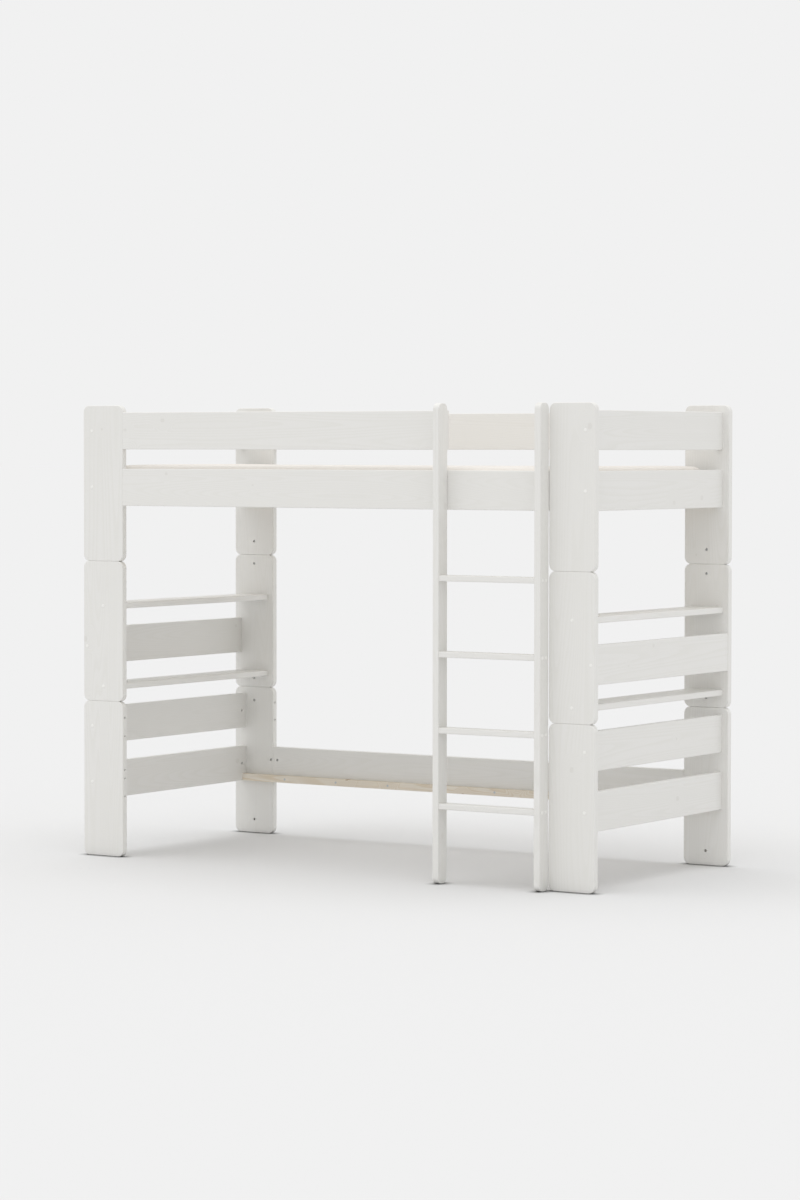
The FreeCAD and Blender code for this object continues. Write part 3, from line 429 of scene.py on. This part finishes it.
def hold_of(p):
    """How firmly the stitching holds a point of the cover, from 0 to 1."""
    if abs(p.z - middle.z) < NEAR_STITCH or p.z - block_low.z < NEAR_STITCH:
        return 1.0
    gap = min(abs(p.x - x) for x in CHANNELS)
    if block_high.z - p.z < MESH_STEP and gap < NEAR_STITCH:
        return CHANNEL_HOLD
    return 0.0


held = mattress.vertex_groups.new(name="held")
for vertex in mattress.data.vertices:
    held.add([vertex.index], hold_of(vertex.co), "REPLACE")
print("channels at", [round(x, 2) for x in CHANNELS])

# %% Blow the cover up a little
def puff(piece):
    """Runs the cover as a cloth with air in it, then puts the result into its mesh."""
    rest = [v.co.copy() for v in piece.data.vertices]
    cloth = piece.modifiers.new("cover", "CLOTH")
    cloth.settings.quality = 5
    cloth.settings.mass = 0.3
    cloth.settings.tension_stiffness = 12
    cloth.settings.compression_stiffness = 12
    cloth.settings.bending_stiffness = 0.6
    cloth.settings.use_pressure = True
    cloth.settings.uniform_pressure_force = 4.0
    cloth.settings.effector_weights.gravity = 0.0
    cloth.settings.vertex_group_mass = "held"
    cloth.point_cache.frame_start = 1
    cloth.point_cache.frame_end = PUFF_FRAMES
    for number in range(1, PUFF_FRAMES + 1):
        bpy.context.scene.frame_set(number)
    bpy.ops.object.modifier_apply(modifier=cloth.name)
    bpy.context.scene.frame_set(1)
    moves = [vertex.co - start for vertex, start in zip(piece.data.vertices, rest)]
    furthest = max(max(abs(part) for part in move) for move in moves)
    share = min(1.0, COVER_SLACK / furthest)
    for vertex, start, move in zip(piece.data.vertices, rest, moves):
        vertex.co = start + move * share
    print("cover moved", round(furthest * 1000, 1), "mm, kept", round(share, 2), "of it")


puff(mattress)
for vertex in mattress.data.vertices:
    vertex.co = Vector(max(low, min(high, v)) for v, low, high
                       in zip(vertex.co, MATTRESS_LOW, MATTRESS_HIGH))
tops = [v.co.z for v in mattress.data.vertices if v.co.z > middle.z]
print("cover's highest point", round(max(tops), 4), "of", round(MATTRESS_HIGH.z, 4))

# %% Smooth the cover
smooth = mattress.modifiers.new("finer", "SUBSURF")
smooth.levels = 1
smooth.render_levels = 1
bpy.ops.object.modifier_apply(modifier=smooth.name)
bpy.ops.object.shade_smooth()
mattress.data.materials.clear()
mattress.data.materials.append(cover_finish)
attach(mattress, "root")
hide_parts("mattress")
print("cover", len(mattress.data.polygons), "faces")

# %% [markdown]
# ## The piping
# The seam of the cover holds a cord in a strip of its own cloth. A rectangle with rounded
# corners becomes a curve, the curve gets a round section, and the result is a mesh again.

# %% Piping round the seam
PIPE_RADIUS = 0.0028
seam_size = block_high - block_low
bpy.ops.object.select_all(action="DESELECT")
bpy.ops.mesh.primitive_plane_add(size=1.0, location=middle)
piping = bpy.context.active_object
piping.name = "cover_piping"
piping.scale = (seam_size.x, seam_size.y, 1.0)
settle(piping)
bpy.ops.object.mode_set(mode="EDIT")
bpy.ops.mesh.select_all(action="SELECT")
bpy.ops.mesh.bevel(offset=SIDE_CORNER, segments=12, affect="VERTICES")
bpy.ops.mesh.select_all(action="SELECT")
bpy.ops.mesh.delete(type="ONLY_FACE")
bpy.ops.object.mode_set(mode="OBJECT")
bpy.ops.object.convert(target="CURVE")
piping.data.bevel_depth = PIPE_RADIUS
piping.data.bevel_resolution = 3
bpy.ops.object.convert(target="MESH")
bpy.ops.object.shade_smooth()
piping.data.materials.clear()
piping.data.materials.append(piping_finish)
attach(piping, "root")
print("piping", len(piping.data.polygons), "faces")

# %% [markdown]
# ## Staples in the webbing
# Two staples hold the webbing to every slat. A staple's back is a short flat wire whose ends turn
# into the wood, so one is modelled and then copied, each copy with its own mesh.

# %% Model one staple
STAPLE_LENGTH = 0.011
WIRE = 0.0011
WIRE_EDGE = WIRE * 0.2    # rounding of the wire's edges
WIRE_DROP = WIRE * 0.15   # its middle lies this far below the webbing: a quarter is pressed in
bpy.ops.object.select_all(action="DESELECT")
bpy.ops.mesh.primitive_cube_add(size=1.0, scale=(WIRE, STAPLE_LENGTH, WIRE * 0.6))
staple = bpy.context.active_object
staple.name = "staple"
settle(staple)
bpy.ops.object.mode_set(mode="EDIT")
bpy.ops.mesh.select_all(action="SELECT")
bpy.ops.mesh.bevel(offset=WIRE_EDGE, segments=2, affect="EDGES")
bpy.ops.object.mode_set(mode="OBJECT")
print("staple", len(staple.data.polygons), "faces")

# %% Copy it to every slat
slat_low, slat_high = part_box("slats")
SLAT_COUNT = 14
SLAT_WIDTH = 0.070
STAPLE_OFFSET = 0.018     # from the middle of a slat
pitch = (slat_high.x - slat_low.x - SLAT_WIDTH) / (SLAT_COUNT - 1)
copies = []
for node in ("slat_band_front", "slat_band_back"):
    band_low, band_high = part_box(node)
    for number in range(SLAT_COUNT):
        for side in (-1, 1):
            copy = staple.copy()
            copy.data = staple.data.copy()
            bpy.context.collection.objects.link(copy)
            slat_middle = slat_low.x + SLAT_WIDTH / 2 + number * pitch
            copy.location = (slat_middle + side * STAPLE_OFFSET,
                             (band_low.y + band_high.y) / 2, band_low.z - WIRE_DROP)
            copies.append(copy)
bpy.data.objects.remove(staple)
bpy.ops.object.select_all(action="DESELECT")
for copy in copies:
    copy.select_set(True)
bpy.context.view_layer.objects.active = copies[0]
bpy.ops.object.join()
staples = bpy.context.active_object
staples.name = "webbing_staples"
settle(staples)
staples.data.materials.append(steel_finish)
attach(staples, "root")
print("staples", len(copies))

# %% [markdown]
# ## The studio
# A pale floor runs away to the horizon, under an even pale sky. The floor's tone is worked out
# so that the sky and the lamp together make it as bright as the sky itself, so no line shows
# where they meet. One very wide lamp overhead stands for a big soft box: it leaves only a soft
# shadow under the bed. A painted contact shadow darkens the floor's colour a little where
# something stands close to it, which makes the line where a foot meets the floor darker.

# %% Floor, sky and lamp
SKY = linear("#F1F1F1")[0]
LAMP_SHARE = 0.36         # the lamp's light on the floor, as a share of the sky's
LAMP_WIDTH = math.radians(72)
LAMP_TURN = (math.radians(6), math.radians(-6), 0.0)
CONTACT_REACH = 0.035     # how far from a foot the floor still lies in its contact shadow
CONTACT_DEPTH = 1.4       # above 1, it deepens the contact shadow
FLOOR_SIZE = 400.0
FLOOR_DROP = 0.0005       # keeps the floor clear of the undersides of the feet
floor_tone = 1.0 / (1.0 + LAMP_SHARE)

bpy.ops.object.select_all(action="DESELECT")
bpy.ops.mesh.primitive_plane_add(size=FLOOR_SIZE, location=(0.0, 0.0, -FLOOR_DROP))
floor = bpy.context.active_object
floor.name = "studio_floor"
material, tree, _ = new_material("matt_studio_floor")
# Painted shade: the floor's colour is darkened where ambient occlusion finds parts close by, a
# painted contact shadow.
painted_shade_openness = add(tree, "AmbientOcclusion", {"Distance": CONTACT_REACH}, out="AO")
painted_shade_openness = add(tree, "Math", (painted_shade_openness, CONTACT_DEPTH), operation="POWER")
tone = add(tree, "Math", (painted_shade_openness, floor_tone), operation="MULTIPLY")
finish_material(tree, add(tree, "BsdfDiffuse", [tone]))
floor.data.materials.append(material)

world = bpy.data.worlds.new("even_sky")
world.use_nodes = True
world.node_tree.nodes["Background"].inputs["Color"].default_value = (SKY, SKY, SKY, 1.0)
world.node_tree.nodes["Background"].inputs["Strength"].default_value = 1.0
bpy.context.scene.world = world

lamp_data = bpy.data.lights.new("overhead_soft_box", "SUN")
lamp_data.energy = SKY * LAMP_SHARE * math.pi / (math.cos(LAMP_TURN[0]) * math.cos(LAMP_TURN[1]))
lamp_data.angle = LAMP_WIDTH
lamp = bpy.data.objects.new("overhead_soft_box", lamp_data)
bpy.context.collection.objects.link(lamp)
lamp.rotation_euler = LAMP_TURN
bpy.context.scene.view_settings.view_transform = "Standard"
print("floor tone", round(floor_tone, 3))

# %% [markdown]
# ## The camera
# A long lens, far away, a little above the mattress, looking along the bed from its right.

# %% Place the camera
CAMERA_PLACE = (7.0305, -10.82, 1.4901)
CAMERA_PAN = math.radians(33.002)
CAMERA_TILT = math.radians(90 - 1.922)   # 90 degrees looks at the horizon
CAMERA_ROLL = math.radians(0.056)
camera_data = bpy.data.cameras.new("camera")
camera_data.sensor_width = 36.0
camera_data.lens = 107.75
camera_data.shift_y = -0.02697
camera_data.clip_end = 500.0
camera = bpy.data.objects.new("camera", camera_data)
bpy.context.collection.objects.link(camera)
turn = (Matrix.Rotation(CAMERA_PAN, 4, "Z") @ Matrix.Rotation(CAMERA_TILT, 4, "X")
        @ Matrix.Rotation(CAMERA_ROLL, 4, "Z"))
camera.matrix_world = Matrix.Translation(CAMERA_PLACE) @ turn
bpy.context.scene.camera = camera
print("camera", [round(v, 3) for v in camera.location])
